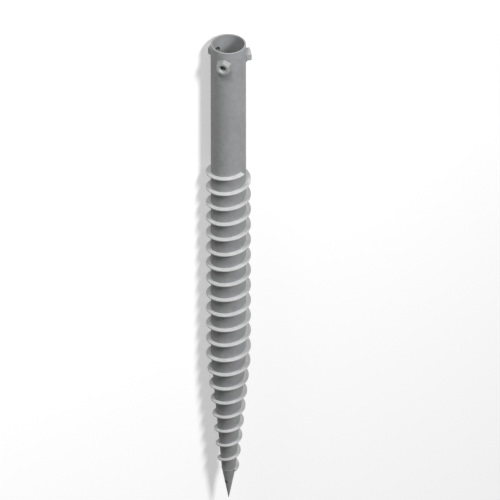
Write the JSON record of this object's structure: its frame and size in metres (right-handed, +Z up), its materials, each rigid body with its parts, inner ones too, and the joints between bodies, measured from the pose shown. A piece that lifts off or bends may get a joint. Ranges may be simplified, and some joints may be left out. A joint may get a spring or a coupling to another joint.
{
  "type": "foundation ground screw",
  "caption": "Long steel ground screw: open tube with clamp nuts round its mouth, a helical flight down to a taper, and a pointed end.",
  "frame": {"origin": "middle of the footprint, on the ground that the screw lies on", "axes": "+X along the screw axis from the point to the open mouth, +Z up, the first clamp nut's face on the ground"},
  "size_m": [1.2, 0.0974, 0.097],
  "materials": {
    "galvanised_steel": "hot-dip galvanised, matt with a faint zinc pattern",
    "galvanised_flight": "hot-dip galvanised plate edge",
    "galvanised_nut": "hot-dip galvanised forged nut",
    "weld_metal": "galvanised weld bead"
  },
  "bodies": {
    "root": {"tube_body": "galvanised_steel", "driving_point": "galvanised_steel", "helical_flight": "galvanised_flight", "clamp_nut_1": "galvanised_nut", "nut_weld_1": "weld_metal", "clamp_nut_2": "galvanised_nut", "nut_weld_2": "weld_metal", "clamp_nut_3": "galvanised_nut", "nut_weld_3": "weld_metal"}
  },
  "joints": []
}
